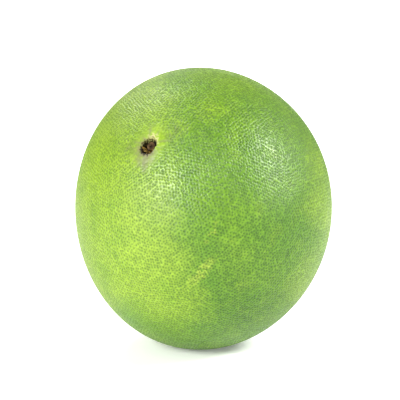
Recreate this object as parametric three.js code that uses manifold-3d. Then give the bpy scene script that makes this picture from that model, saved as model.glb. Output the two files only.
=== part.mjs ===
// A pomelo: one large citrus fruit standing the way a heavy fruit settles, with
// its stem end tipped towards the front and to the left.  Millimetres, +Z up,
// the floor at z = 0, the front of the fruit towards -Y.
//
// The fruit is drawn upright about its own stem axis first.  It is then tipped
// over, stretched to its three driving sizes, and cut flat where it bears on
// the floor.  The dried stub of its stalk goes through the same moves.

import * as THREE from 'three';
import { mergeVertices } from 'three/addons/utils/BufferGeometryUtils.js';
import Module from 'manifold-3d';

// ---- driving sizes of the standing fruit ----
const WIDTH = 150; // side to side, along X
const DEPTH = 155; // front to back, along Y
const HEIGHT = 164; // floor to top, along Z
const SPOT_DEPTH = 1.3; // rind pressed flat by the floor, leaving a spot about 26 wide

// ---- how the fruit stands, degrees ----
const STEM_TILT = 58; // stem axis away from straight up, tipping to the front
const STEM_TURN = -27; // then swung round to the left

// ---- body about the stem axis ----
const BODY_RADIUS = 77; // mean radius before stretching
const TAPER = 0.006; // stem end drawn out and shoulder held in, share of the radius
const LOBES = 3; // very broad swellings round the waist
const LOBE_SWELL = 0.01; // height of a swelling, share of the radius
const LOBE_ANGLE = 16; // where the first swelling lies, degrees round the stem axis

// ---- stem pit: distance from the stem axis, and height over the smooth body ----
const PIT_FLOOR = { radius: 2.8, level: -4.4 };
const PIT_FOOT = { radius: 3.3, level: -3.9 };
const PIT_WALL = { radius: 4.0, level: -1.9 };
const PIT_EDGE = { radius: 4.5, level: -0.2 };
const LIP_CREST = { radius: 5.2, level: 0.45 };
const LIP_BACK = { radius: 6.6, level: 0.3 };
const LIP_FADE = { radius: 9.0, level: 0 };

// ---- blossom end: a shallow dimple opposite the stem ----
const DIMPLE_RADIUS = 7;
const DIMPLE_DEPTH = 0.9;

// ---- dried stub of the stalk, standing clear of the pit's floor ----
const STUB_RADIUS = 2.35;
const STUB_ASIDE = { x: 0.55, y: 0.45 }; // the stub leans to one side of the pit
const STUB_CLEARANCE = 0.3;
const STUB_HEIGHT = 3.2;
const STUB_EDGE = 0.3; // worn edge of the stub
const PITH_RADIUS = 0.8; // soft middle, sunk a little
const PITH_SINK = 0.45;

// ---- how finely the shapes are divided ----
const AROUND = 80;
const AROUND_STUB = 28;
const PIT_STEPS = 14;
const BODY_STEPS = 38;
const STEP_EASING = 0.06; // how much the steps close up towards the two ends
const JOIN_WITHIN = 1e-5; // corners nearer than this are one corner

const wasm = await Module();
wasm.setup();

// Radius of the smooth body at an angle (radians) from the stem axis.
function bodyRadius(angle) {
  const c = Math.cos(angle);
  const drawnOut = TAPER * (5 * c ** 3 - 3 * c) / 2;
  const fromBlossomEnd = BODY_RADIUS * Math.sin(angle) / DIMPLE_RADIUS;
  const dimple = c < 0 ? DIMPLE_DEPTH * Math.exp(-(fromBlossomEnd ** 2)) : 0;
  return BODY_RADIUS * (1 + drawnOut) - dimple;
}

// Point of the smooth body's outline at an angle from the stem axis:
// x is the distance from the axis and y the height along it.
function outlinePoint(angle) {
  const r = bodyRadius(angle);
  return new THREE.Vector2(r * Math.sin(angle), r * Math.cos(angle));
}

// Height of the smooth body at a small distance from the stem axis.
function stemEndHeight(distance) {
  return outlinePoint(Math.asin(distance / BODY_RADIUS)).y;
}

// The pit's section, from its flat floor out over the raised lip to the body.
function pitOutline() {
  const stations = [PIT_FLOOR, PIT_FOOT, PIT_WALL, PIT_EDGE, LIP_CREST, LIP_BACK, LIP_FADE];
  const points = stations.map(
    ({ radius, level }) => new THREE.Vector2(radius, stemEndHeight(radius) + level),
  );
  return new THREE.SplineCurve(points).getPoints(PIT_STEPS);
}

// The whole outline, from the middle of the pit's floor to the blossom end.
function fruitOutline() {
  const pit = pitOutline();
  const start = Math.asin(LIP_FADE.radius / BODY_RADIUS);
  const body = [];
  for (let i = 1; i < BODY_STEPS; i += 1) {
    // Steps widen from the lip outwards and close up again round the dimple.
    const t = i / BODY_STEPS;
    const eased = t - STEP_EASING * Math.sin(2 * Math.PI * t);
    body.push(outlinePoint(start + (Math.PI - start) * eased));
  }
  const middle = new THREE.Vector2(0, pit[0].y);
  const blossomEnd = new THREE.Vector2(0, outlinePoint(Math.PI).y);
  return [middle, ...pit, ...body, blossomEnd];
}

// The stub's section: a short drum with a worn edge and a sunk middle.
function stubOutline() {
  const foot = stemEndHeight(PIT_FLOOR.radius) + PIT_FLOOR.level + STUB_CLEARANCE;
  const top = foot + STUB_HEIGHT;
  return [
    new THREE.Vector2(0, top - PITH_SINK),
    new THREE.Vector2(PITH_RADIUS, top - PITH_SINK),
    new THREE.Vector2(PITH_RADIUS + STUB_EDGE, top),
    new THREE.Vector2(STUB_RADIUS - STUB_EDGE, top),
    new THREE.Vector2(STUB_RADIUS, top - STUB_EDGE),
    new THREE.Vector2(STUB_RADIUS, foot),
    new THREE.Vector2(0, foot),
  ];
}

// Closed triangle mesh from a geometry: seams joined, empty triangles dropped,
// and every face turned outwards.
function closeUp(geometry) {
  const bare = new THREE.BufferGeometry();
  bare.setAttribute('position', geometry.getAttribute('position').clone());
  bare.setIndex(geometry.getIndex());
  const joined = mergeVertices(bare, JOIN_WITHIN);
  const index = joined.getIndex().array;
  const kept = [];
  for (let i = 0; i < index.length; i += 3) {
    const [a, b, c] = index.slice(i, i + 3);
    if (a !== b && b !== c && c !== a) {
      kept.push(a, b, c);
    }
  }
  joined.setIndex(kept);
  if (signedVolume(joined) < 0) {
    kept.reverse();
    joined.setIndex(kept);
  }
  return joined;
}

function signedVolume(geometry) {
  const position = geometry.getAttribute('position');
  const index = geometry.getIndex().array;
  const corner = [new THREE.Vector3(), new THREE.Vector3(), new THREE.Vector3()];
  let volume = 0;
  for (let i = 0; i < index.length; i += 3) {
    corner.forEach((v, k) => v.fromBufferAttribute(position, index[i + k]));
    volume += corner[0].dot(corner[1].clone().cross(corner[2])) / 6;
  }
  return volume;
}

function toManifold(geometry) {
  return new wasm.Manifold(new wasm.Mesh({
    numProp: 3,
    vertProperties: new Float32Array(geometry.getAttribute('position').array),
    triVerts: new Uint32Array(geometry.getIndex().array),
  }));
}

function fromManifold(solid) {
  const { numProp, vertProperties, triVerts } = solid.getMesh();
  const positions = [];
  for (let i = 0; i < vertProperties.length; i += numProp) {
    positions.push(vertProperties[i], vertProperties[i + 1], vertProperties[i + 2]);
  }
  const geometry = new THREE.BufferGeometry();
  geometry.setAttribute('position', new THREE.Float32BufferAttribute(positions, 3));
  geometry.setIndex([...triVerts]);
  geometry.computeVertexNormals();
  return geometry;
}

// Lathe an outline about the stem axis, which is turned from Y to straight up.
function turned(outline, around) {
  const geometry = closeUp(new THREE.LatheGeometry(outline, around));
  return geometry.rotateX(Math.PI / 2);
}

// Raise the broad swellings, which die away at the two ends of the stem axis.
function swell(geometry) {
  const position = geometry.getAttribute('position');
  const first = THREE.MathUtils.degToRad(LOBE_ANGLE);
  const point = new THREE.Vector3();
  for (let i = 0; i < position.count; i += 1) {
    point.fromBufferAttribute(position, i);
    const waist = (Math.hypot(point.x, point.y) / point.length()) ** 3;
    const angle = Math.atan2(point.y, point.x);
    const factor = 1 + LOBE_SWELL * waist * Math.cos(LOBES * (angle - first));
    point.multiplyScalar(factor);
    position.setXYZ(i, point.x, point.y, point.z);
  }
  return geometry;
}

// Tip and swing the stem axis into the attitude the fruit stands in.
function attitude() {
  const tilt = new THREE.Matrix4().makeRotationX(THREE.MathUtils.degToRad(STEM_TILT));
  const turn = new THREE.Matrix4().makeRotationZ(THREE.MathUtils.degToRad(STEM_TURN));
  return turn.multiply(tilt);
}

// Stretch the tipped fruit to its driving sizes, centre it over the origin and
// sink it so that the pressed spot lies at floor level.
function fitToSize(tipped) {
  tipped.computeBoundingBox();
  const box = tipped.boundingBox;
  const size = box.getSize(new THREE.Vector3());
  const middle = box.getCenter(new THREE.Vector3());
  const uncutHeight = HEIGHT + SPOT_DEPTH;
  const toOrigin = new THREE.Matrix4().makeTranslation(-middle.x, -middle.y, -box.min.z);
  const stretch = new THREE.Matrix4().makeScale(
    WIDTH / size.x,
    DEPTH / size.y,
    uncutHeight / size.z,
  );
  const sink = new THREE.Matrix4().makeTranslation(0, 0, -SPOT_DEPTH);
  return sink.multiply(stretch).multiply(toOrigin);
}

// Everything under the floor, as a block to cut away.
function underFloor() {
  const block = new THREE.BoxGeometry(2 * WIDTH, 2 * DEPTH, HEIGHT);
  return toManifold(closeUp(block.translate(0, 0, -HEIGHT / 2)));
}

const fruitShape = swell(turned(fruitOutline(), AROUND)).applyMatrix4(attitude());
const placing = fitToSize(fruitShape);
const fruitSolid = toManifold(fruitShape.applyMatrix4(placing)).subtract(underFloor());

const stubShape = turned(stubOutline(), AROUND_STUB).translate(STUB_ASIDE.x, STUB_ASIDE.y, 0);
const stubSolid = toManifold(stubShape.applyMatrix4(attitude()).applyMatrix4(placing));

const rind = new THREE.MeshStandardMaterial({ color: 0x9cc858, roughness: 0.5, metalness: 0 });
const stalkWood = new THREE.MeshStandardMaterial({ color: 0x8f6a4c, roughness: 0.85, metalness: 0 });

const fruit = new THREE.Mesh(fromManifold(fruitSolid), rind);
fruit.name = 'fruit';

const stemStub = new THREE.Mesh(fromManifold(stubSolid), stalkWood);
stemStub.name = 'stem_stub';

const pomelo = new THREE.Group();
pomelo.name = 'pomelo';
pomelo.add(fruit, stemStub);

export default pomelo;
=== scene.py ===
import math

import bpy
import numpy as np
from mathutils import Matrix, Vector


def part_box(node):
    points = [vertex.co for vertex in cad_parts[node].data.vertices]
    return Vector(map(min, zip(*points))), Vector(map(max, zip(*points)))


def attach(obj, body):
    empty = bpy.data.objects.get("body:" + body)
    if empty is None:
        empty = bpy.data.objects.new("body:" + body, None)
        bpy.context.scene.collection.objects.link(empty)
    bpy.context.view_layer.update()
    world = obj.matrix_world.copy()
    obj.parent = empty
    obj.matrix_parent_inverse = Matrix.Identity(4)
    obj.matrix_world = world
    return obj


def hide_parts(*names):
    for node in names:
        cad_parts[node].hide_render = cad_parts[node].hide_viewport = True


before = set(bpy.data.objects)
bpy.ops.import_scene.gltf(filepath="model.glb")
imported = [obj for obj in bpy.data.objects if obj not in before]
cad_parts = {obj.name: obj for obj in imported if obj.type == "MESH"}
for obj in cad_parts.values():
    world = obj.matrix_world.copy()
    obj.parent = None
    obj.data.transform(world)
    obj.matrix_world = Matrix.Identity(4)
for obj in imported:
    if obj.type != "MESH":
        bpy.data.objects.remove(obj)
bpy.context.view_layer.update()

MM = 0.001

# ---- how the fruit stands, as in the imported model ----
STEM_TILT = math.radians(58)
STEM_TURN = math.radians(-27)
SPOT_DEPTH = 1.3 * MM

# ---- body about the stem axis ----
BODY_RADIUS = 77 * MM
TAPER = 0.006
LOBES = 3
LOBE_SWELL = 0.010
LOBE_ANGLE = math.radians(16)
DIMPLE_RADIUS = 7 * MM
DIMPLE_DEPTH = 0.9 * MM

# ---- stem pit: distance from the stem axis, height over the smooth body ----
PIT_SECTION = [
    (0.0, -4.4), (2.8, -4.4), (3.3, -3.9), (4.0, -1.9), (4.5, -0.2),
    (5.2, 0.45), (6.6, 0.30), (9.0, 0.0),
]
PIT_LONG = 1.12  # the mouth is longer than wide
PIT_LONG_ANGLE = math.radians(62)

# ---- fine folds round the stem ----
CREASES = 11
CREASE_DEPTH = 0.12 * MM
CREASE_SHARPNESS = 5  # power that narrows a fold
CREASE_START = 4.6  # mm from the stem axis
CREASE_END = 10.5  # mean; each fold ends a few mm nearer or further
# painted light and shade: the side of the stem facing the lamp on the right, where the lip's callus and the
# halo round it are painted palest
LAMP_SIDE = math.radians(45)  # side of the stem where the lip's callus is palest

# ---- dried stub of the stalk, about the stem axis ----
STUB_RADIUS = 2.35 * MM
STUB_ASIDE = (0.70 * MM, 0.10 * MM)
STUB_FOOT = 73.3 * MM  # height along the stem axis, just clear of the pit's floor
STUB_STEPS = [(0.5, 0.94), (0.8, 0.95), (0.9, 1.02), (0.7, 1.07), (0.2, 0.97)]  # rise in mm, widening
STUB_RINGS = [(0.16, -0.10), (0.28, 0.09), (0.22, -0.11), (0.30, 0.10), (0.24, -0.08)]  # inwards, up, mm
PITH_STEPS = [(-0.25, 0.85), (-0.35, 0.70)]  # rise in mm, widening
STUB_SIDES = 48
STUB_ROUGHNESS = 0.10 * MM

# ---- shreds of husk packed beside the stub ----
SHREDS = 30
SHRED_SIDE = (math.radians(196), math.radians(322))  # part of the pit that they fill
SHRED_BLOCK = (0.85 * MM, 0.42 * MM, 1.3 * MM)
SHRED_STEPS = [(0.8, 0.80, 0.10), (0.7, 0.70, 0.22), (0.4, 0.45, 0.25)]  # rise in mm, narrowing, lean in mm
SHRED_BEVEL = 0.06 * MM
SHRED_OUT = (2.35, 1.35)  # least distance from the stem axis and the spread beyond it, mm
SHRED_FOOT = (0.75, 0.95)  # least height over the stub's foot and the spread above it, mm
HUSK_ROUGHNESS = 0.05 * MM

# ---- oil glands ----
GLAND_CUTS = 12  # after two halvings: about 27 000 glands
GLAND_PITCH = 1.8 * MM
GLAND_DEPTH = 0.12 * MM
GLAND_SCATTER = 0.80  # how far a gland strays, share of the pitch
GLAND_SUNK = (0.6, 1.3)  # shallowest and deepest gland, share of the depth
STEM_BARE = (6, 8)  # glands begin this far from the stem axis, and are full this much further, mm
BLOSSOM_BARE = (2, 4)  # the same round the blossom scar, mm

STEM_REFINED = [13, 10, 6.8]  # faces nearer than each of these are quartered again, mm
BLOSSOM_REFINED = [7, 5]
STEM_END = 1
BLOSSOM_END = -1
FAR_AWAY = 99.0  # reach given to the far side of the fruit, mm

# ---- seeds of the random draws ----
GLAND_PLACE_SEED = 5
GLAND_SIZE_SEED = 11
GLAND_SUNK_SEED = 7
STUB_SEED = 2
SHRED_SEED = 4
HUSK_SEED = 8

# ---- scar where the blossom fell: distance from the axis, height over the dimple ----
BLOSSOM_SECTION = [(0.0, 0.35), (0.5, 0.30), (0.8, -0.30), (1.7, -0.35), (2.2, 0.10), (3.2, 0.0)]


# ------------------------------------------------------------------ bench tools

def clear_bench():
    """Nothing selected and object mode, so an operator works on the new piece alone."""
    if bpy.context.object and bpy.context.object.mode != "OBJECT":
        bpy.ops.object.mode_set(mode="OBJECT")
    bpy.ops.object.select_all(action="DESELECT")


def vertex_places(mesh):
    places = np.empty(len(mesh.vertices) * 3)
    mesh.vertices.foreach_get("co", places)
    return places.reshape(-1, 3)


def put_vertices(mesh, places):
    mesh.vertices.foreach_set("co", np.ascontiguousarray(places).ravel())
    mesh.update()


def pick(items, chosen):
    items.foreach_set("select", np.ascontiguousarray(chosen, dtype=bool))


def in_edit_mode(kind="FACE"):
    bpy.ops.object.mode_set(mode="EDIT")
    bpy.ops.mesh.select_mode(type=kind)


# ------------------------------------------------------------------ the fruit's shape

def stem_attitude():
    """Turn that takes the upright stem axis to where it points on the standing fruit."""
    return Matrix.Rotation(STEM_TURN, 3, "Z") @ Matrix.Rotation(STEM_TILT, 3, "X")


def smooth_body(directions):
    """Points of the body about an upright stem axis, one for each unit direction."""
    across = np.hypot(directions[:, 0], directions[:, 1])
    up = directions[:, 2]
    angle = np.arctan2(directions[:, 1], directions[:, 0])
    radius = BODY_RADIUS * (1 + TAPER * (5 * up**3 - 3 * up) / 2)
    dimple = np.exp(-((BODY_RADIUS * across / DIMPLE_RADIUS) ** 2))
    radius = radius - np.where(up < 0, DIMPLE_DEPTH * dimple, 0)
    swell = 1 + LOBE_SWELL * across**3 * np.cos(LOBES * (angle - LOBE_ANGLE))
    return directions * (radius * swell)[:, None]


def stretch_to_frame(standing):
    """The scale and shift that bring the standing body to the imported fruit's box."""
    low, high = (np.array(corner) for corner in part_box("fruit"))
    low = low - np.array([0, 0, SPOT_DEPTH])
    own_low, own_high = standing.min(0), standing.max(0)
    scale = (high - low) / (own_high - own_low)
    return scale, low - own_low * scale


def stand_up(places, scale, shift):
    """Points about the upright stem axis, brought to where they are on the standing fruit."""
    return (places @ np.array(stem_attitude()).T) * scale + shift


def stem_reach(across, angle):
    """Distance from the stem axis in mm, as if the pit's mouth were perfectly round."""
    longer = 1 + (PIT_LONG - 1) * np.cos(2 * (angle - PIT_LONG_ANGLE))
    ragged = 1 + 0.022 * np.sin(5 * angle + 1) + 0.016 * np.sin(11 * angle) + 0.012 * np.sin(17 * angle + 2)
    return across / (longer * ragged) / MM


def creases(reach, angle):
    """Fine folds that run outwards from the stem, 1 along the middle of a fold."""
    wander = angle + 0.22 * np.sin(2 * angle + 0.4) + 0.12 * np.sin(3 * angle + 2)
    fold = (0.5 + 0.5 * np.cos(CREASES * wander)) ** CREASE_SHARPNESS
    length = CREASE_END + 3 * np.sin(4 * angle + 1) + 2 * np.sin(7 * angle)
    start = np.clip((reach - CREASE_START) / 1.5, 0, 1)
    end = np.clip((length - reach) / 4, 0, 1)
    return fold * start * end


def height_along(section, reach):
    """Height over the smooth body at each distance from the stem axis."""
    stations = np.array(section)
    return np.interp(reach, stations[:, 0], stations[:, 1]) * MM


def begin_beyond(reach, bare, fading):
    """0 within the bare reach, rising evenly to 1 over the fading distance."""
    return np.clip((reach - bare) / fading, 0, 1)


def ragged_reach(across, angle):
    """Distance from the stem axis in mm, with a slightly uneven round."""
    return across * (1 + 0.09 * np.sin(3 * angle + 1) + 0.07 * np.sin(5 * angle)) / MM


# ------------------------------------------------------------------ the rind

def divide_round(cuts):
    """Divide every face and push the new points out to a round ball."""
    bpy.ops.mesh.select_all(action="SELECT")
    bpy.ops.mesh.subdivide(number_cuts=cuts)
    bpy.ops.transform.tosphere(value=1)


def ball_of_glands():
    """A round ball whose vertices are the oil glands, scattered evenly but not in rows."""
    clear_bench()
    bpy.ops.mesh.primitive_ico_sphere_add(subdivisions=1, radius=BODY_RADIUS)
    ball = bpy.context.object
    ball.name = "rind"
    in_edit_mode("VERT")
    divide_round(1)
    divide_round(1)
    divide_round(GLAND_CUTS)
    bpy.ops.mesh.select_all(action="SELECT")
    bpy.ops.transform.vertex_random(offset=GLAND_SCATTER * GLAND_PITCH, seed=GLAND_PLACE_SEED)
    bpy.ops.mesh.vertices_smooth(factor=0.5, repeat=1)
    bpy.ops.transform.tosphere(value=1)
    bpy.ops.object.mode_set(mode="OBJECT")
    shrunk = np.linalg.norm(vertex_places(ball.data), axis=1).mean()
    in_edit_mode("VERT")
    bpy.ops.mesh.select_all(action="SELECT")
    bpy.ops.transform.resize(value=(BODY_RADIUS / shrunk,) * 3)
    bpy.ops.object.mode_set(mode="OBJECT")
    return ball


def pick_edges_between(ball, glands):
    """Select the edges that run straight from gland to gland, in edge mode."""
    in_edit_mode("EDGE")
    bpy.ops.mesh.select_all(action="DESELECT")
    bpy.ops.object.mode_set(mode="OBJECT")
    ends = np.empty(len(ball.data.edges) * 2, int)
    ball.data.edges.foreach_get("vertices", ends)
    pick(ball.data.edges, (ends.reshape(-1, 2) < glands).all(1))
    in_edit_mode("EDGE")


def fan_round_glands(ball):
    """Give each gland a ring of corner points, so that it is the middle of its own fan of faces."""
    glands = len(ball.data.vertices)
    in_edit_mode("FACE")
    bpy.ops.mesh.select_all(action="SELECT")
    bpy.ops.mesh.poke()
    pick_edges_between(ball, glands)
    bpy.ops.mesh.dissolve_edges(use_verts=False, use_face_split=False)
    bpy.ops.mesh.select_all(action="SELECT")
    bpy.ops.mesh.quads_convert_to_tris(quad_method="SHORTEST_DIAGONAL")
    pick_edges_between(ball, glands)
    bpy.ops.mesh.edge_rotate()
    bpy.ops.object.mode_set(mode="OBJECT")
    return glands


def corner_vertices(mesh):
    corners = np.empty(len(mesh.loops), int)
    mesh.loops.foreach_get("vertex_index", corners)
    return corners.reshape(-1, 3)


def mark_glands(mesh, glands):
    """Each face corner is given its offset from its own gland, and each face that gland's size."""
    corners = corner_vertices(mesh)
    own = corners < glands
    assert (own.sum(1) == 1).all()
    middle = corners[own]
    places = vertex_places(mesh)
    offset = (places[corners] - places[middle][:, None]) / GLAND_PITCH
    layer = mesh.attributes.new("gland_offset", "FLOAT_VECTOR", "CORNER")
    layer.data.foreach_set("vector", offset.ravel())
    sizes = np.random.default_rng(GLAND_SIZE_SEED).random(glands)
    layer = mesh.attributes.new("gland_size", "FLOAT", "FACE")
    layer.data.foreach_set("value", sizes[middle])


def refine_near_axis(ball, reach, end):
    """Quarter the faces within reach of the stem axis, at its stem end or its blossom end."""
    places = vertex_places(ball.data)
    near = (np.hypot(places[:, 0], places[:, 1]) < reach) & (places[:, 2] * end > 0)
    corners = corner_vertices(ball.data)
    in_edit_mode("FACE")
    bpy.ops.mesh.select_all(action="DESELECT")
    bpy.ops.object.mode_set(mode="OBJECT")
    pick(ball.data.polygons, near[corners].all(1))
    in_edit_mode("FACE")
    bpy.ops.mesh.subdivide(number_cuts=1)
    bpy.ops.mesh.select_all(action="SELECT")
    bpy.ops.mesh.quads_convert_to_tris(quad_method="SHORTEST_DIAGONAL")
    bpy.ops.object.mode_set(mode="OBJECT")


def shape_rind(ball, glands):
    """Move every point of the ball on to the fruit: body, pit, lip, glands and resting spot."""
    places = vertex_places(ball.data)
    directions = places / np.linalg.norm(places, axis=1)[:, None]
    body = smooth_body(directions)
    angle = np.arctan2(body[:, 1], body[:, 0])
    across = np.hypot(body[:, 0], body[:, 1])
    stem_end = body[:, 2] > 0
    reach = np.where(stem_end, stem_reach(across, angle), FAR_AWAY)
    blossom = np.where(stem_end, FAR_AWAY, ragged_reach(across, angle))
    fold = creases(reach, angle)
    shaped = body.copy()
    shaped[:, 2] += height_along(PIT_SECTION, reach) - fold * CREASE_DEPTH
    shaped[:, 2] -= height_along(BLOSSOM_SECTION, blossom)
    fade = begin_beyond(reach[:glands], *STEM_BARE) * begin_beyond(blossom[:glands], *BLOSSOM_BARE)
    sunk = np.random.default_rng(GLAND_SUNK_SEED).uniform(*GLAND_SUNK, glands) * GLAND_DEPTH
    shaped[:glands] -= directions[:glands] * (sunk * fade)[:, None]
    scale, shift = stretch_to_frame(body @ np.array(stem_attitude()).T)
    shaped = stand_up(shaped, scale, shift)
    resting = shaped[:, 2] < 0
    rest_spot = shaped[resting].mean(0) * (1, 1, 0)
    shaped[resting, 2] = 0
    put_vertices(ball.data, shaped)
    marks = {
        "stem_reach": reach,
        "stem_side": np.cos(angle - LAMP_SIDE),
        "stem_low": -np.sin(angle),
        "crease": fold,
        "blossom_reach": blossom,
        "rest_reach": np.linalg.norm(shaped - rest_spot, axis=1) / MM,
    }
    for name, values in marks.items():
        layer = ball.data.attributes.new(name, "FLOAT", "POINT")
        layer.data.foreach_set("value", values)
    return scale, shift


def make_rind():
    ball = ball_of_glands()
    glands = fan_round_glands(ball)
    mark_glands(ball.data, glands)
    for reach in STEM_REFINED:
        refine_near_axis(ball, reach * MM, STEM_END)
    for reach in BLOSSOM_REFINED:
        refine_near_axis(ball, reach * MM, BLOSSOM_END)
    scale, shift = shape_rind(ball, glands)
    bpy.ops.object.shade_smooth()
    ball.data.materials.append(rind_finish())
    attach(ball, "root")
    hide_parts("fruit")
    return scale, shift


# ------------------------------------------------------------------ the stub and its husk

def raise_faces(rise, width, middle):
    """Extrude the selected faces upwards and widen or narrow their new edge."""
    bpy.ops.mesh.extrude_region_move(TRANSFORM_OT_translate={"value": (0, 0, rise)})
    bpy.ops.transform.resize(value=(width, width, 1), center_override=middle)


def settle(piece, scale, shift):
    """Tip an upright piece into the fruit, and mark how far it is from the pith and above the foot."""
    upright = vertex_places(piece.data)
    from_stub = upright - np.array([*STUB_ASIDE, STUB_FOOT])
    marks = {
        "from_pith": np.hypot(from_stub[:, 0], from_stub[:, 1]) / MM,
        "above_foot": from_stub[:, 2] / MM,
    }
    for name, values in marks.items():
        layer = piece.data.attributes.new(name, "FLOAT", "POINT")
        layer.data.foreach_set("value", values)
    put_vertices(piece.data, stand_up(upright, scale, shift))


def make_stub(scale, shift):
    """The dried stub of the stalk: a drum with a worn rim, rings of wood and a hollow pith."""
    clear_bench()
    middle = Vector((*STUB_ASIDE, STUB_FOOT))
    bpy.ops.mesh.primitive_circle_add(
        vertices=STUB_SIDES, radius=STUB_RADIUS, fill_type="NGON", location=middle
    )
    bpy.ops.object.transform_apply(location=True, rotation=False, scale=False)
    stub = bpy.context.object
    stub.name = "stalk_stub"
    in_edit_mode("FACE")
    bpy.ops.mesh.select_all(action="SELECT")
    for rise, width in STUB_STEPS:
        raise_faces(rise * MM, width, middle)
    for inwards, up in STUB_RINGS:
        bpy.ops.mesh.inset(thickness=inwards * MM, depth=up * MM)
    for rise, width in PITH_STEPS:
        raise_faces(rise * MM, width, middle)
    bpy.ops.mesh.poke()
    bpy.ops.mesh.select_all(action="SELECT")
    bpy.ops.mesh.normals_make_consistent(inside=False)
    bpy.ops.mesh.quads_convert_to_tris()
    bpy.ops.mesh.subdivide(number_cuts=2, smoothness=0.3)
    bpy.ops.transform.vertex_random(offset=STUB_ROUGHNESS, seed=STUB_SEED)
    bpy.ops.object.mode_set(mode="OBJECT")
    settle(stub, scale, shift)
    bpy.ops.object.shade_smooth()
    stub.data.materials.append(stub_finish())
    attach(stub, "root")
    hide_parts("stem_stub")


def make_shred():
    """One curled shred of husk: a small block drawn out to a thin, leaning tip."""
    clear_bench()
    bpy.ops.mesh.primitive_cube_add(size=1)
    shred = bpy.context.object
    in_edit_mode("FACE")
    bpy.ops.mesh.select_all(action="SELECT")
    bpy.ops.transform.resize(value=SHRED_BLOCK)
    bpy.ops.mesh.select_all(action="DESELECT")
    bpy.ops.object.mode_set(mode="OBJECT")
    pick(shred.data.polygons, [face.normal.z > 0.9 for face in shred.data.polygons])
    in_edit_mode("FACE")
    tip = Vector((0, 0, SHRED_BLOCK[2] / 2))
    for rise, width, lean in SHRED_STEPS:
        step = Vector((0, lean, rise)) * MM
        bpy.ops.mesh.extrude_region_move(TRANSFORM_OT_translate={"value": step})
        tip = tip + step
        bpy.ops.transform.resize(value=(width, width, 1), center_override=tip)
    bpy.ops.mesh.select_all(action="SELECT")
    bpy.ops.mesh.bevel(offset=SHRED_BEVEL, segments=1)
    bpy.ops.mesh.quads_convert_to_tris()
    bpy.ops.mesh.subdivide(number_cuts=1)
    bpy.ops.object.mode_set(mode="OBJECT")
    return shred


def make_husk(scale, shift):
    """Shreds of dried husk packed between the stub and the pit's lower wall, so tight that they overlap."""
    rng = np.random.default_rng(SHRED_SEED)
    first = make_shred()
    shreds = []
    for number in range(SHREDS):
        clear_bench()
        first.select_set(True)
        bpy.context.view_layer.objects.active = first
        bpy.ops.object.duplicate(linked=False)
        shred = bpy.context.object
        around = SHRED_SIDE[0] + (SHRED_SIDE[1] - SHRED_SIDE[0]) * (number + rng.random()) / SHREDS
        out = (SHRED_OUT[0] + SHRED_OUT[1] * rng.random()) * MM
        foot = STUB_FOOT + (SHRED_FOOT[0] + SHRED_FOOT[1] * rng.random()) * MM
        shred.location = (out * math.cos(around), out * math.sin(around), foot)
        shred.rotation_euler = (
            rng.uniform(-0.35, 0.25),
            rng.uniform(-0.3, 0.3),
            around - math.pi / 2 + rng.uniform(-0.5, 0.5),
        )
        shred.scale = (rng.uniform(0.6, 1.1), rng.uniform(0.7, 1.3), rng.uniform(0.75, 1.0))
        shreds.append(shred)
    clear_bench()
    first.select_set(True)
    bpy.context.view_layer.objects.active = first
    bpy.ops.object.delete()
    for shred in shreds:
        shred.select_set(True)
    bpy.context.view_layer.objects.active = shreds[0]
    bpy.ops.object.transform_apply(location=True, rotation=True, scale=True)
    bpy.ops.object.join()
    husk = bpy.context.object
    husk.name = "stalk_husk"
    in_edit_mode("VERT")
    bpy.ops.mesh.select_all(action="SELECT")
    bpy.ops.transform.vertex_random(offset=HUSK_ROUGHNESS, seed=HUSK_SEED)
    bpy.ops.object.mode_set(mode="OBJECT")
    settle(husk, scale, shift)
    bpy.ops.object.shade_smooth()
    husk.data.materials.append(husk_finish())
    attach(husk, "root")


# ------------------------------------------------------------------ finishes

# A colour Mix node names its colour and number sockets alike, so these go by number.
MIX_FIRST = 6
MIX_SECOND = 7
MIX_RESULT = 2


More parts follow.
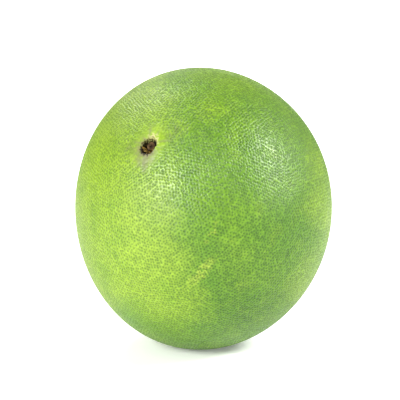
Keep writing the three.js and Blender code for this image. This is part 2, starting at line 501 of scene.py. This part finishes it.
class Finish:
    """A material with short ways to add and join its nodes."""

    def __init__(self, name):
        self.material = bpy.data.materials.new(name)
        self.material.use_nodes = True
        self.tree = self.material.node_tree
        self.shader = self.tree.nodes["Principled BSDF"]

    def node(self, kind, **settings):
        node = self.tree.nodes.new("ShaderNode" + kind)
        for key, value in settings.items():
            setattr(node, key, value)
        return node

    def feed(self, socket, value):
        if isinstance(value, bpy.types.NodeSocket):
            self.tree.links.new(value, socket)
        else:
            socket.default_value = value

    def math(self, operation, a, b=0.0, c=0.0):
        node = self.node("Math", operation=operation)
        for socket, value in zip(node.inputs, (a, b, c)):
            self.feed(socket, value)
        return node.outputs[0]

    def mix(self, factor, a, b):
        node = self.node("Mix", data_type="RGBA")
        self.feed(node.inputs["Factor"], factor)
        self.feed(node.inputs[MIX_FIRST], a)
        self.feed(node.inputs[MIX_SECOND], b)
        return node.outputs[MIX_RESULT]

    def darken(self, factor, colour, shade):
        """The colour multiplied by a shade, as far as the factor says."""
        node = self.node("Mix", data_type="RGBA", blend_type="MULTIPLY")
        self.feed(node.inputs["Factor"], factor)
        self.feed(node.inputs[MIX_FIRST], colour)
        self.feed(node.inputs[MIX_SECOND], shade)
        return node.outputs[MIX_RESULT]

    def fade(self, value, start, end, low=0.0, high=1.0):
        node = self.node("MapRange", interpolation_type="SMOOTHSTEP")
        for socket, number in zip(node.inputs[:5], (value, start, end, low, high)):
            self.feed(socket, number)
        return node.outputs[0]

    def places(self):
        return self.node("TexCoord").outputs["Object"]

    def attribute(self, name, output):
        return self.node("Attribute", attribute_name=name).outputs[output]

    def length(self, vector):
        node = self.node("VectorMath", operation="LENGTH")
        self.feed(node.inputs[0], vector)
        return node.outputs["Value"]

    def share(self, value, amount):
        return self.math("MULTIPLY", value, amount)

    def noise(self, places, scale, detail):
        node = self.node("TexNoise")
        self.feed(node.inputs["Vector"], places)
        node.inputs["Scale"].default_value = scale
        node.inputs["Detail"].default_value = detail
        return node.outputs["Fac"]

    def stray(self, places, scale, amount):
        """Places moved about by up to half the amount, so that a patch has a wandering edge."""
        noise = self.node("TexNoise")
        self.feed(noise.inputs["Vector"], places)
        noise.inputs["Scale"].default_value = scale
        noise.inputs["Detail"].default_value = 3
        centred = self.node("VectorMath", operation="SUBTRACT")
        self.feed(centred.inputs[0], noise.outputs["Color"])
        centred.inputs[1].default_value = (0.5, 0.5, 0.5)
        moved = self.node("VectorMath", operation="MULTIPLY_ADD")
        self.feed(moved.inputs[0], centred.outputs[0])
        moved.inputs[1].default_value = (amount * 2, amount * 2, amount * 2)
        self.feed(moved.inputs[2], places)
        return moved.outputs[0]

    def patch(self, places, centre, reach):
        """1 at a place on the skin, fading to 0 at reach from it."""
        away = self.node("VectorMath", operation="DISTANCE")
        self.feed(away.inputs[0], places)
        away.inputs[1].default_value = centre
        return self.fade(away.outputs["Value"], 0, reach, 1, 0)

    def streak(self, places, centre, rise, half_length, half_width):
        """A long patch on the front of the fruit, rising to the right."""
        laid = self.node("Mapping", vector_type="TEXTURE")
        self.feed(laid.inputs["Vector"], places)
        laid.inputs["Location"].default_value = centre
        laid.inputs["Rotation"].default_value = (0, -rise, 0)
        laid.inputs["Scale"].default_value = (half_length, 0.02, half_width)
        return self.fade(self.length(laid.outputs[0]), 0.2, 1, 1, 0)


RIND_RELIEF = 0.33 * MM
DRY_RELIEF = 0.12 * MM

LIME = (0.262, 0.402, 0.022, 1)
YELLOW_LIME = (0.315, 0.468, 0.022, 1)
GREEN = (0.150, 0.308, 0.008, 1)
DEEP_GREEN = (0.095, 0.245, 0.003, 1)
BLUE_GREEN = (0.155, 0.318, 0.030, 1)
# dark of the gland dots, partly painted shade in their hollows
GLAND_SHADE = (0.360, 0.460, 0.200, 1)
# painted shade for the low parts of the bump's relief
RELIEF_HOLLOW_SHADE = (0.640, 0.700, 0.480, 1)
# cream of the callus as painted on its lit side, facing the lamp on the right
LIT_CREAM = (0.500, 0.480, 0.200, 1)
PALE_SCAR = (0.420, 0.530, 0.055, 1)
# brown of the scuffs, also used for the painted shade on the stem's low side and for the darker folds
SCUFF_AND_SHADE_BROWN = (0.165, 0.180, 0.075, 1)
# tan of the blossom scar, also the painted shade on the side of the callus and halo away from the lamp
DUSTY_TAN_AND_SHADE = (0.205, 0.205, 0.080, 1)
# painted shade: near-black brown down in the pit and olive on the inside of the lip
PIT_SHADE_BROWN = (0.012, 0.006, 0.001, 1)
LIP_SHADE_OLIVE = (0.080, 0.062, 0.012, 1)
STALK_BROWN = (0.098, 0.052, 0.020, 1)
STALK_PALE = (0.227, 0.152, 0.061, 1)
# dark of the stalk, also the painted shade towards the stub's foot
STALK_DARK_AND_SHADE = (0.023, 0.009, 0.002, 1)
HUSK_OCHRE = (0.420, 0.260, 0.040, 1)
HUSK_PALE = (0.660, 0.500, 0.180, 1)
# dark of the husk, also the painted shade lower down in the pit
HUSK_DARK_AND_SHADE = (0.068, 0.042, 0.008, 1)

# ---- soft patches and marks on the skin: centre and reach, in metres ----
DEEP_PATCHES = [
    ((0.048, -0.058, 0.080), 0.040),
    ((0.023, -0.062, 0.038), 0.036),
    ((0.004, -0.071, 0.060), 0.024),
    ((-0.038, -0.040, 0.016), 0.030),
    ((-0.020, 0.060, 0.110), 0.040),
    ((0.060, 0.045, 0.060), 0.036),
]
# paler patches of the skin, some of them painted light, as marked below
PALE_AND_LIT_PATCHES = [
    ((0.006, -0.044, 0.149), 0.020),
    ((0.018, -0.010, 0.160), 0.038),
    # painted light: the next four, down the right edge, paint a brighter rim where the lamp on the right
    # falls
    ((0.070, -0.031, 0.085), 0.034),
    ((0.066, -0.030, 0.108), 0.026),
    ((0.076, -0.016, 0.082), 0.040),
    ((0.062, -0.030, 0.046), 0.030),
    # painted highlight: a paler patch below the stem, where the front lamp's highlight falls
    ((-0.014, -0.068, 0.112), 0.020),
    ((-0.010, -0.069, 0.045), 0.026),
    ((0.030, 0.065, 0.120), 0.030),
    ((-0.050, 0.050, 0.060), 0.034),
]
WAXED_PATCHES = [  # the natural wax is thickest here
    ((-0.015, -0.069, 0.107), 0.034),
    ((0.030, -0.052, 0.121), 0.020),
    ((-0.040, -0.030, 0.137), 0.030),
    ((0.000, -0.064, 0.114), 0.036),
    ((0.034, -0.056, 0.108), 0.030),
]
BLUISH_AND_SHEEN_PATCHES = [
    # painted sheen: the first two lie where the highlights fall, bluer and paler like the grey veil of a
    # highlight; the last is bluish skin at the back
    ((0.036, -0.062, 0.112), 0.034),
    ((-0.003, -0.066, 0.115), 0.018),
    ((0.020, 0.050, 0.030), 0.032),
]
SCUFFS = [
    ((-0.0184, -0.0582, 0.1320), 0.0060),
    ((-0.0130, -0.0581, 0.1342), 0.0055),
    ((-0.0404, -0.0526, 0.1226), 0.0070),
    ((-0.0325, -0.0616, 0.1166), 0.0075),
    ((-0.0289, -0.0526, 0.1330), 0.0050),
]
# ---- the two long scars: centre, rise, half length, half width ----
LOWER_STREAK = ((-0.0015, -0.074, 0.0585), math.radians(46), 0.0140, 0.0046)
UPPER_STREAK = ((0.004, -0.077, 0.081), math.radians(64), 0.009, 0.0026)


def gather(f, places, patches):
    """Any of a list of soft patches on the skin, as one share from 0 to 1."""
    total = 0.0
    for centre, reach in patches:
        total = f.math("MAXIMUM", total, f.patch(places, centre, reach))
    return total


def rind_colour(f, places):
    """Lime on one side and green on the other, with soft patches and mottling; painted shade darkens it
    towards the bottom, and some patches are painted light and sheen.
    """
    broad = f.noise(places, 24, 3)
    strayed = f.stray(places, 34, 0.022)
    apart = f.node("SeparateXYZ")
    f.feed(apart.inputs[0], strayed)
    lime_share = f.fade(apart.outputs["X"], -0.034, 0.000, 1, 0)
    lime_share = f.math("MULTIPLY_ADD", f.fade(broad, 0.35, 0.75, -0.18, 0.18), 1.0, lime_share)
    colour = f.mix(lime_share, GREEN, LIME)
    # painted shade: the skin is mixed towards deep green low down, darker towards the bottom where the fruit
    # is shaded
    colour = f.mix(f.fade(apart.outputs["Z"], 0.045, 0.012, 0, 0.35), colour, DEEP_GREEN)
    colour = f.mix(f.share(gather(f, strayed, DEEP_PATCHES), 0.75), colour, DEEP_GREEN)
    # bluish patches: painted sheen where the highlights fall, and bluish skin at the back
    colour = f.mix(f.share(gather(f, strayed, BLUISH_AND_SHEEN_PATCHES), 0.5), colour, BLUE_GREEN)
    # paler patches, some of them painted light: a brighter right rim and a highlight below the stem
    colour = f.mix(f.share(gather(f, strayed, PALE_AND_LIT_PATCHES), 0.55), colour, YELLOW_LIME)
    mottle = f.noise(places, 95, 4)
    colour = f.mix(f.fade(mottle, 0.50, 0.80, 0, 0.30), colour, YELLOW_LIME)
    colour = f.mix(f.fade(mottle, 0.50, 0.22, 0, 0.35), colour, DEEP_GREEN)
    return colour, lime_share


def scar_colours(f, places, colour):
    """Two pale streaks on the front and brownish scuffs beside the stem."""
    grain = f.noise(places, 420, 3)
    strayed = f.stray(places, 180, 0.004)
    streak = f.streak(strayed, *LOWER_STREAK)
    faint = f.streak(strayed, *UPPER_STREAK)
    broken = f.fade(grain, 0.36, 0.60)
    colour = f.mix(f.math("MULTIPLY", f.share(streak, 0.95), broken), colour, PALE_SCAR)
    colour = f.mix(f.math("MULTIPLY", f.share(faint, 0.8), broken), colour, PALE_SCAR)
    scuffed = f.math("MULTIPLY", f.share(gather(f, strayed, SCUFFS), 0.60), f.fade(grain, 0.38, 0.62))
    return f.mix(scuffed, colour, SCUFF_AND_SHADE_BROWN)


def stem_end_colours(f, places, colour):
    """Callus on the lip, painted cream on the side facing the lamp on the right and tan on the side away; the
    pit's brown painted near black inside it and olive on the inside of the lip as shade; painted shade on the
    low side round the stem; and folds painted darker brown.
    """
    reach = f.attribute("stem_reach", "Fac")
    fold = f.attribute("crease", "Fac")
    side = f.attribute("stem_side", "Fac")
    grain = f.noise(places, 900, 3)
    smear = f.noise(places, 520, 3)
    low = f.attribute("stem_low", "Fac")
    ragged = f.math("ADD", reach, f.fade(grain, 0.3, 0.7, -0.7, 0.7))
    # the painted pit shade reaches further out on the low side, which faces down
    ragged = f.math("MULTIPLY_ADD", low, -0.75, ragged)
    smeared = f.math("ADD", reach, f.fade(smear, 0.3, 0.7, -1.3, 1.3))
    # painted shade: olive-brown round the stem on its low side, which faces down
    low_side_shade = f.math("MULTIPLY", f.fade(smeared, 5.0, 9.5, 1, 0), f.fade(low, -0.1, 0.8, 0, 0.75))
    halo = f.share(f.fade(smeared, 6.0, 13.0, 1, 0), 0.40)
    # painted light and shade: the halo round the stem is yellow-lime on the side facing the lamp on the right
    # and tan on the side away
    colour = f.mix(halo, colour, f.mix(f.fade(side, -0.3, 0.5), DUSTY_TAN_AND_SHADE, YELLOW_LIME))
    # the folds are painted darker brown along their troughs
    colour = f.mix(f.share(fold, 0.6), colour, SCUFF_AND_SHADE_BROWN)
    # painted light and shade: the callus is cream on the side facing the lamp on the right and tan on the
    # side away
    callus = f.mix(f.fade(side, -0.1, 0.8), DUSTY_TAN_AND_SHADE, LIT_CREAM)
    width = f.fade(side, -0.6, 0.7, 5.7, 5.5)
    # painted shade on the low side round the stem
    colour = f.mix(low_side_shade, colour, SCUFF_AND_SHADE_BROWN)
    lip = f.share(f.fade(f.math("SUBTRACT", smeared, width), -0.9, 0.9, 1, 0), 0.85)
    colour = f.mix(lip, colour, callus)
    # painted shade: olive on the inside of the lip, and the pit's brown darkened to near black down in the
    # hollow
    colour = f.mix(f.fade(ragged, 4.4, 5.3, 1, 0), colour, LIP_SHADE_OLIVE)
    return f.mix(f.fade(ragged, 4.0, 5.0, 1, 0), colour, PIT_SHADE_BROWN)


def far_end_colours(f, places, colour):
    """A corky scar where the blossom fell, and a dull, slightly paler spot where the fruit rests."""
    grain = f.noise(places, 900, 3)
    blossom = f.math("ADD", f.attribute("blossom_reach", "Fac"), f.fade(grain, 0.3, 0.7, -0.6, 0.6))
    colour = f.mix(f.fade(blossom, 3.0, 9.0, 0.55, 0), colour, YELLOW_LIME)
    colour = f.mix(f.fade(blossom, 2.0, 3.1, 0.9, 0), colour, DUSTY_TAN_AND_SHADE)
    colour = f.mix(f.fade(blossom, 1.2, 2.0, 0.9, 0), colour, STALK_BROWN)
    rested = f.fade(f.attribute("rest_reach", "Fac"), 6.0, 17.0, 1, 0)
    worn = f.math("MULTIPLY", rested, f.fade(f.noise(places, 260, 4), 0.35, 0.65, 0.15, 0.7))
    return f.mix(worn, colour, PALE_SCAR)


def rind_finish():
    """Satin skin with a dark dot in every gland, partly its own colour and partly painted shade in its
    hollow, fine pebbling with painted shade in its low parts, and a thin coat of natural wax.
    """
    f = Finish("waxy rind")
    places = f.places()
    offset = f.attribute("gland_offset", "Vector")
    size = f.attribute("gland_size", "Fac")
    glandular = f.fade(f.attribute("stem_reach", "Fac"), 7, 15)
    glandular = f.math("MULTIPLY", glandular, f.fade(f.attribute("blossom_reach", "Fac"), 2.5, 7))
    wobble = f.fade(f.noise(places, 1500, 1), 0.3, 0.7, -0.05, 0.05)
    distance = f.math("ADD", f.length(offset), wobble)
    rim = f.math("MULTIPLY_ADD", size, 0.12, 0.43)
    dot = f.math("MULTIPLY", f.fade(distance, 0.0, rim, 1, 0), glandular)
    hollow = f.math("MULTIPLY", f.fade(distance, 0.02, 0.56, 1, 0), glandular)
    weave = f.noise(places, 800, 0)

    colour, lime_share = rind_colour(f, places)
    colour = scar_colours(f, places, colour)
    pebbles = f.noise(places, 440, 0)
    height = f.node("SeparateXYZ")
    f.feed(height.inputs[0], places)
    # painted shade: darker where the weave and pebble relief of the bump is low, and more so towards the top
    shade_towards_top = f.fade(height.outputs["Z"], 0.100, 0.150, 0.65, 1.0)
    colour = f.darken(f.math("MULTIPLY", f.fade(weave, 0.60, 0.38), shade_towards_top), colour, RELIEF_HOLLOW_SHADE)
    valleys = f.math("MULTIPLY", f.fade(pebbles, 0.62, 0.38), f.fade(lime_share, 0, 1, 0.70, 0.30))
    colour = f.darken(valleys, colour, RELIEF_HOLLOW_SHADE)
    # partly painted shade: each gland's dark dot is its own darker colour and also the shade in its hollow
    depth = f.math("MULTIPLY_ADD", size, 0.10, f.fade(lime_share, 0, 1, 0.88, 0.90))
    colour = f.darken(f.math("MULTIPLY", dot, depth), colour, GLAND_SHADE)
    colour = stem_end_colours(f, places, colour)
    colour = far_end_colours(f, places, colour)
    f.feed(f.shader.inputs["Base Color"], colour)

    relief = f.math("MULTIPLY_ADD", hollow, -0.75, f.math("MULTIPLY_ADD", pebbles, 0.45, f.share(weave, 0.5)))
    bump = f.node("Bump")
    bump.inputs["Distance"].default_value = RIND_RELIEF
    f.feed(bump.inputs["Height"], relief)
    f.feed(f.shader.inputs["Normal"], bump.outputs[0])
    f.feed(f.shader.inputs["Coat Normal"], bump.outputs[0])
    f.feed(f.shader.inputs["Roughness"], f.math("MULTIPLY_ADD", dot, 0.10, 0.48))
    f.shader.inputs["Specular IOR Level"].default_value = 0.34
    waxed = f.math("MULTIPLY_ADD", gather(f, places, WAXED_PATCHES), 0.54, 0.18)
    off_the_lip = f.fade(f.attribute("stem_reach", "Fac"), 6.0, 11.0)
    f.feed(f.shader.inputs["Coat Weight"], f.math("MULTIPLY", waxed, off_the_lip))
    f.shader.inputs["Coat Roughness"].default_value = 0.35
    f.shader.inputs["Coat IOR"].default_value = 1.6
    return f.material


def dry_relief(f, places, amount):
    """Fine roughness of dead plant matter."""
    bump = f.node("Bump")
    bump.inputs["Distance"].default_value = amount
    f.feed(bump.inputs["Height"], f.noise(places, 1800, 3))
    f.feed(f.shader.inputs["Normal"], bump.outputs[0])
    f.feed(f.shader.inputs["Roughness"], f.fade(f.noise(places, 700, 2), 0.3, 0.7, 0.72, 0.95))
    f.shader.inputs["Specular IOR Level"].default_value = 0.25


def stub_finish():
    """Dead wood: pale and dark rings across the cut, a dark pith, and bark painted nearly black towards the
    foot as shade down in the pit.
    """
    f = Finish("dried stalk")
    places = f.places()
    out = f.attribute("from_pith", "Fac")
    high = f.attribute("above_foot", "Fac")
    wander = f.math("ADD", out, f.fade(f.noise(places, 600, 2), 0.3, 0.7, -0.25, 0.25))
    rings = f.math("SINE", f.math("MULTIPLY", wander, 8.4))
    patches = f.noise(places, 500, 3)
    colour = f.mix(f.fade(rings, -0.4, 1.0, 0, 0.85), STALK_BROWN, STALK_PALE)
    colour = f.mix(f.fade(patches, 0.48, 0.66, 0, 0.8), colour, STALK_DARK_AND_SHADE)
    colour = f.mix(f.fade(wander, 1.15, 0.6, 0, 0.95), colour, STALK_DARK_AND_SHADE)
    # painted shade: near black towards the foot, down in the pit
    colour = f.mix(f.fade(high, 3.0, 2.2, 0, 0.9), colour, STALK_DARK_AND_SHADE)
    f.feed(f.shader.inputs["Base Color"], colour)
    dry_relief(f, places, DRY_RELIEF)
    return f.material


def husk_finish():
    """Ochre shreds with pale frayed tips, painted dark lower down as shade in the pit."""
    f = Finish("dry husk")
    places = f.places()
    high = f.attribute("above_foot", "Fac")
    colour = f.mix(f.fade(f.noise(places, 900, 2), 0.40, 0.62), HUSK_DARK_AND_SHADE, HUSK_OCHRE)
    colour = f.mix(f.fade(f.noise(places, 1300, 2), 0.52, 0.70, 0, 0.9), colour, HUSK_PALE)
    # painted shade: darker lower down in the pit
    colour = f.mix(f.fade(high, 1.9, 0.9, 0, 0.9), colour, HUSK_DARK_AND_SHADE)
    f.feed(f.shader.inputs["Base Color"], colour)
    dry_relief(f, places, DRY_RELIEF)
    return f.material


# ------------------------------------------------------------------ the studio

FLOOR_SIZE = 8
FLOOR_GLOW = 0.20
NEAR_GLOW = 0.42
FAR_GLOW = 0.80
FRONT_SHARE = 0.4  # the floor in front glows less
BACKDROP_PLACE = (0, 1.6, 0.30)
BACKDROP_SIZE = (1.0, 0.9, 1)
BACKDROP_GLOW = 1.1
ROOM_LIGHT = 0.06
ROOM_BEHIND = 0.38
BRIGHT_SIDE = (0.40, 0.88, 0.26)  # direction in which the room is brightest
LIT_POINT = (0, 0, 0.08)  # every light aims here
LIGHTS = [  # name, place, width and height, watts
    ("right box", (0.95, -0.16, 0.76), (0.35, 0.35), 16.2),
    ("low left strip", (-0.97, -0.66, 0.27), (0.18, 0.40), 4.0),
    ("front strip", (-0.66, -0.94, 0.56), (0.22, 0.40), 15.2),
    ("top box", (-0.42, 0.46, 1.06), (0.30, 0.30), 7.4),
]
LENS = 135.0
SENSOR_WIDTH = 36
DISTANCE = 0.879
RISE = math.radians(9)
AIM = Vector((-0.0021, 0, 0.0865))


def paper_finish(name, glow):
    """Matt white card, lit a little from within so that it stays clean white."""
    f = Finish(name)
    f.shader.inputs["Base Color"].default_value = (0.9, 0.9, 0.9, 1)
    f.shader.inputs["Roughness"].default_value = 0.9
    f.shader.inputs["Specular IOR Level"].default_value = 0.1
    f.shader.inputs["Emission Color"].default_value = (1, 1, 1, 1)
    f.shader.inputs["Emission Strength"].default_value = glow
    return f


def make_floor():
    """White floor that glows least under the fruit, more a little way off, and most far behind."""
    clear_bench()
    bpy.ops.mesh.primitive_plane_add(size=FLOOR_SIZE, location=(0, 0, 0))
    floor = bpy.context.object
    floor.name = "floor"
    f = paper_finish("pale floor", FLOOR_GLOW)
    places = f.places()
    away = f.length(places)
    apart = f.node("SeparateXYZ")
    f.feed(apart.inputs[0], places)
    near = f.fade(away, 0.010, 0.050, FLOOR_GLOW, NEAR_GLOW)
    far = f.fade(away, 0.10, 0.50, 0.0, FAR_GLOW)
    far = f.math("MULTIPLY", far, f.fade(apart.outputs["Y"], -0.35, -0.12, FRONT_SHARE, 1.0))
    f.feed(f.shader.inputs["Emission Strength"], f.math("MAXIMUM", near, far))
    floor.data.materials.append(f.material)


def make_backdrop():
    clear_bench()
    bpy.ops.mesh.primitive_plane_add(size=1, location=BACKDROP_PLACE, rotation=(math.radians(90), 0, 0))
    backdrop = bpy.context.object
    backdrop.name = "backdrop"
    backdrop.scale = BACKDROP_SIZE
    backdrop.data.materials.append(paper_finish("pale backdrop", BACKDROP_GLOW).material)


def soft_light(name, place, size, power):
    bpy.ops.object.light_add(type="AREA", location=place)
    light = bpy.context.object
    light.name = name
    light.data.shape = "RECTANGLE"
    light.data.size, light.data.size_y = size
    light.data.energy = power
    direction = Vector(LIT_POINT) - Vector(place)
    light.rotation_mode = "QUATERNION"
    light.rotation_quaternion = direction.to_track_quat("-Z", "Y")


def light_room():
    """Dim white room, brighter towards one side behind the fruit."""
    world = bpy.data.worlds.new("pale room")
    bpy.context.scene.world = world
    world.use_nodes = True
    nodes, links = world.node_tree.nodes, world.node_tree.links
    nodes["Background"].inputs["Color"].default_value = (1, 1, 1, 1)
    direction = nodes.new("ShaderNodeTexCoord")
    towards = nodes.new("ShaderNodeVectorMath")
    towards.operation = "DOT_PRODUCT"
    towards.inputs[1].default_value = BRIGHT_SIDE
    links.new(direction.outputs["Generated"], towards.inputs[0])
    dimming = nodes.new("ShaderNodeMapRange")
    dimming.interpolation_type = "SMOOTHSTEP"
    links.new(towards.outputs["Value"], dimming.inputs["Value"])
    for socket, number in zip(list(dimming.inputs)[1:5], (0.0, 1.0, ROOM_LIGHT, ROOM_BEHIND)):
        socket.default_value = number
    links.new(dimming.outputs[0], nodes["Background"].inputs["Strength"])


def make_studio():
    make_floor()
    make_backdrop()
    light_room()
    for name, place, size, power in LIGHTS:
        soft_light(name, place, size, power)


def make_camera():
    back = Vector((0, -math.cos(RISE), math.sin(RISE)))
    bpy.ops.object.camera_add(location=AIM + back * DISTANCE)
    camera = bpy.context.object
    camera.name = "camera"
    camera.data.lens = LENS
    camera.data.sensor_width = SENSOR_WIDTH
    camera.rotation_mode = "QUATERNION"
    camera.rotation_quaternion = (-back).to_track_quat("-Z", "Y")
    bpy.context.scene.camera = camera


bpy.context.scene.view_settings.view_transform = "Standard"
make_camera()
scale, shift = make_rind()
make_stub(scale, shift)
make_husk(scale, shift)
make_studio()
